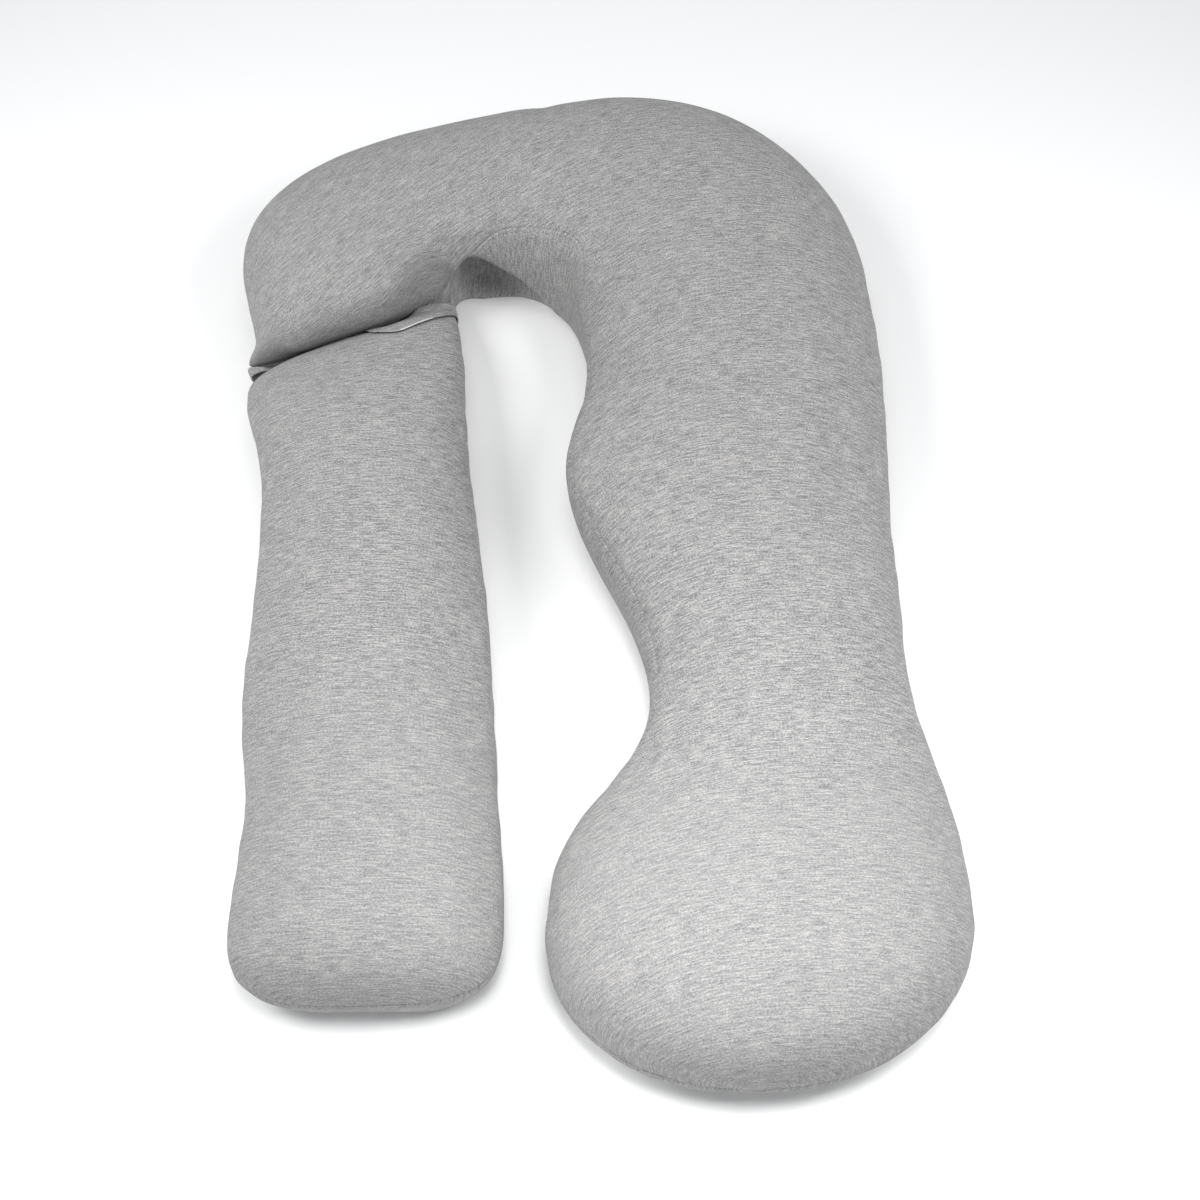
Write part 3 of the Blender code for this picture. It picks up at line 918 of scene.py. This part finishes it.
def heather_jersey(name, cloth, overlock=False):
    """Single jersey knitted from heather yarn: matt and soft, with short streaks along its courses."""
    material = bpy.data.materials.new(name)
    material.use_nodes = True
    tree = material.node_tree
    tree.nodes.clear()
    place = add(tree, "ShaderNodeUVMap", uv_map="cloth").outputs["UV"]

    def fibres(length, width, detail, rough, distortion=0.0):
        scaled = add(tree, "ShaderNodeMapping", {"Vector": place, "Scale": (1 / length, 1 / width, 1)})
        sockets = {"Vector": scaled.outputs[0], "Scale": 1.0, "Detail": detail, "Roughness": rough}
        sockets["Distortion"] = distortion
        return add(tree, "ShaderNodeTexNoise", sockets, noise_dimensions="2D").outputs["Fac"]

    def mixed(first, second, share):
        sockets = {"Factor": share, "A": first, "B": second}
        return add(tree, "ShaderNodeMix", sockets, data_type="FLOAT").outputs["Result"]

    streaks = fibres(cloth.streak_length, cloth.streak_width, 2.0, 0.6, 0.1)
    long_streaks = fibres(cloth.streak_length * 2.4, cloth.streak_width * 1.8, 2.0, 0.5, 0.1)
    specks = fibres(0.0024, 0.0018, 1.0, 0.7)
    clouds = fibres(0.06, 0.03, 2.0, 0.5)
    tone = mixed(mixed(mixed(streaks, long_streaks, 0.25), specks, 0.43), clouds, 0.06)
    # Painted washout: over the near ends the streaks fade towards the ground colour, standing in for the
    # bright near light.
    stretch = add(tree, "ShaderNodeAttribute", attribute_name="stretch").outputs["Fac"]
    fade = add(tree, "ShaderNodeMath", {0: stretch, 1: cloth.fade}, operation="MULTIPLY").outputs[0]
    tone = mixed(tone, 0.5, fade)
    ramp = add(tree, "ShaderNodeValToRGB", {"Fac": tone})
    stops = ramp.color_ramp.elements
    stops[0].position, stops[0].color = ALL_DARK, (*cloth.dark, 1)
    stops[1].position, stops[1].color = ALL_LIGHT, (*cloth.light, 1)
    stops.new(0.5).color = (*cloth.ground, 1)
    colour = ramp.outputs["Color"]
    if overlock:
        thread = add(tree, "ShaderNodeAttribute", attribute_name="overlock").outputs["Fac"]
        colour = add(
            tree,
            "ShaderNodeMix",
            {"Factor": thread, MIX_COLOUR_A: colour, MIX_COLOUR_B: (*linear("#e2e2e0"), 1)},
            data_type="RGBA",
        ).outputs[MIX_COLOUR]
    courses = add(
        tree,
        "ShaderNodeTexWave",
        {"Vector": place, "Scale": 2 * math.pi / COURSE / 20, "Distortion": 1.2, "Detail": 1.0},
        bands_direction="Y",
    ).outputs["Fac"]
    knit = mixed(courses, specks, 0.6)
    bump = add(tree, "ShaderNodeBump", {"Strength": 0.3, "Distance": 0.0008, "Height": knit})
    shader = add(
        tree,
        "ShaderNodeBsdfPrincipled",
        {
            "Base Color": colour,
            "Roughness": 0.92,
            "Specular IOR Level": 0.2,
            "Sheen Weight": 0.05,
            "Sheen Roughness": 0.55,
            "Normal": bump.outputs["Normal"],
        },
    )
    add(tree, "ShaderNodeOutputMaterial", {"Surface": shader.outputs["BSDF"]})
    return material


# ---------------------------------------------------------------- operators


def build_cushion(context, name, sections, end, grain=None, shape=None):
    """One filled cushion: its loops, one subdivision, then its sewn and filled surface."""
    settings = context.scene.pillow
    made = cover(sections, end, settings.shape.spacing / MM, grain, shape)
    piece = cushion_mesh(name, made)
    outward(piece)
    swell_up(piece, np.append(made.loose[:-1].ravel(), made.loose[-1, 0]))
    finish_with(piece, "SUBSURF", levels=1, render_levels=1)
    sew_and_fill(piece, settings.shape.seam_depth, settings.shape.swell)
    piece.data.shade_smooth()
    return piece


def jersey(context):
    return bpy.data.materials.get("heather single jersey") or heather_jersey(
        "heather single jersey", context.scene.pillow.cloth
    )


class PILLOW_OT_body_cushion(bpy.types.Operator):
    """Adds the hooked cushion, from the joint round the head end to the round end of the long leg."""

    bl_idname = "pillow.body_cushion"
    bl_label = "Body cushion"

    def execute(self, context):
        piece = build_cushion(context, "body_cover", BODY_SECTIONS, BODY_END, BODY_GRAIN, shape_body)
        piece.data.materials.append(jersey(context))
        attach(piece, "root")
        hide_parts("body_cushion")
        return {"FINISHED"}


class PILLOW_OT_arm_cushion(bpy.types.Operator):
    """Adds the straight arm, from the joint to its near end."""

    bl_idname = "pillow.arm_cushion"
    bl_label = "Arm cushion"

    def execute(self, context):
        piece = build_cushion(context, "arm_cover", ARM_SECTIONS, ARM_END, shape=shape_arm)
        piece.data.materials.append(jersey(context))
        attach(piece, "root")
        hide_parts("arm_cushion")
        return {"FINISHED"}


class PILLOW_OT_joint_flap(bpy.types.Operator):
    """Adds the folded flap: it shows over the arm's inner half, and as a small ear at the outer side."""

    bl_idname = "pillow.joint_flap"
    bl_label = "Joint flap"

    def execute(self, context):
        piece, edge = flap_mesh("joint_flap_cloth")
        finish_with(piece, "SOLIDIFY", thickness=FLAP_THICK * MM, offset=0.0, use_even_offset=False)
        overlock(piece, edge)
        outward(piece)
        finish_with(piece, "SUBSURF", levels=1, render_levels=1)
        piece.data.shade_smooth()
        cloth = context.scene.pillow.cloth
        piece.data.materials.append(heather_jersey("overlocked heather jersey", cloth, overlock=True))
        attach(piece, "root")
        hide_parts("joint_flap")
        return {"FINISHED"}


CAMERA_PLACE = (0.0388, -1.1041, 1.795)
CAMERA_TILT = math.radians(30)  # the camera looks 60 degrees below the horizon
FLOOR_SIZE = 14
FLOOR_DROP = 0.0004  # how far the floor is below the pillow's base


class Lamp(NamedTuple):
    """A square area light."""

    name: str
    power: str  # the stage setting that holds its power
    place: tuple
    aim: tuple  # the point it looks at
    size: float
    spread: float  # the angle it lights, in degrees


LAMPS = (
    Lamp("near light", "key", (0.16, -0.66, 2.2), (0.16, -0.66, 0.0), 0.6, 40),
    Lamp("high light", "high", (-0.05, 0.25, 2.4), (0.0, 0.1, 0.1), 1.1, 180),
    Lamp("left light", "left", (-1.3, -0.2, 1.6), (0.0, 0.0, 0.1), 0.8, 150),
    Lamp("right light", "right", (1.3, -0.2, 1.6), (0.0, 0.0, 0.1), 0.8, 150),
)


class PILLOW_OT_stage(bpy.types.Operator):
    """Adds the plain pale floor, the soft lights and the camera."""

    bl_idname = "pillow.stage"
    bl_label = "Stage"

    def execute(self, context):
        scene = context.scene
        stage = scene.pillow.stage
        bpy.ops.object.select_all(action="DESELECT")
        bpy.ops.mesh.primitive_plane_add(size=FLOOR_SIZE, location=(0, 0, -FLOOR_DROP))
        floor = context.object
        floor.name = "floor"
        floor.data.materials.append(matt_paint(stage.floor))
        for lamp in LAMPS:
            soft_light(scene, lamp, getattr(stage, lamp.power))
        world = bpy.data.worlds.new("studio")
        world.use_nodes = True
        scene.world = world
        background = world.node_tree.nodes["Background"]
        background.inputs["Color"].default_value = (*linear("#f2f4f6"), 1)
        background.inputs["Strength"].default_value = 0.5
        camera = bpy.data.cameras.new("camera")
        camera.lens = 50
        camera.sensor_width = 36
        shot = bpy.data.objects.new("camera", camera)
        shot.location = CAMERA_PLACE
        shot.rotation_euler = (CAMERA_TILT, 0, 0)
        scene.collection.objects.link(shot)
        scene.camera = shot
        scene.view_settings.view_transform = "Standard"
        return {"FINISHED"}


def matt_paint(colour):
    """Matt white paint: a plain pale floor without gloss, which shows only soft shadows."""
    paint = bpy.data.materials.new("matt white paint")
    paint.use_nodes = True
    tree = paint.node_tree
    tree.nodes.clear()
    sockets = {"Base Color": (*colour, 1), "Roughness": 0.9, "Specular IOR Level": 0.0}
    shader = add(tree, "ShaderNodeBsdfPrincipled", sockets)
    add(tree, "ShaderNodeOutputMaterial", {"Surface": shader.outputs["BSDF"]})
    return paint


def soft_light(scene, lamp, power):
    """Adds one lamp, turned to what it looks at."""
    light = bpy.data.lights.new(lamp.name, "AREA")
    light.size = lamp.size
    light.energy = power
    light.spread = math.radians(lamp.spread)
    shown = bpy.data.objects.new(lamp.name, light)
    shown.location = lamp.place
    shown.rotation_euler = (Vector(lamp.aim) - Vector(lamp.place)).to_track_quat("-Z", "Y").to_euler()
    scene.collection.objects.link(shown)


class PILLOW_PT_panel(bpy.types.Panel):
    """Lists the pillow's sizes, colours and operators."""

    bl_idname = "PILLOW_PT_panel"
    bl_label = "Hooked body pillow"
    bl_space_type = "VIEW_3D"
    bl_region_type = "UI"
    bl_category = "Pillow"

    def draw(self, context):
        settings = context.scene.pillow
        for group in (settings.shape, settings.cloth, settings.stage):
            box = self.layout.box()
            for key in group.__annotations__:
                box.prop(group, key)
        for operator in OPERATORS:
            self.layout.operator(operator.bl_idname)


OPERATORS = (PILLOW_OT_body_cushion, PILLOW_OT_arm_cushion, PILLOW_OT_joint_flap, PILLOW_OT_stage)
CLASSES = (PillowShape, PillowCloth, PillowStage, PillowSettings, *OPERATORS, PILLOW_PT_panel)


def register():
    for item in CLASSES:
        bpy.utils.register_class(item)
    bpy.types.Scene.pillow = PointerProperty(type=PillowSettings)


def unregister():
    del bpy.types.Scene.pillow
    for item in reversed(CLASSES):
        bpy.utils.unregister_class(item)


def main():
    register()
    bpy.ops.pillow.body_cushion()
    bpy.ops.pillow.arm_cushion()
    bpy.ops.pillow.joint_flap()
    bpy.ops.pillow.stage()


if __name__ == "__main__":
    main()
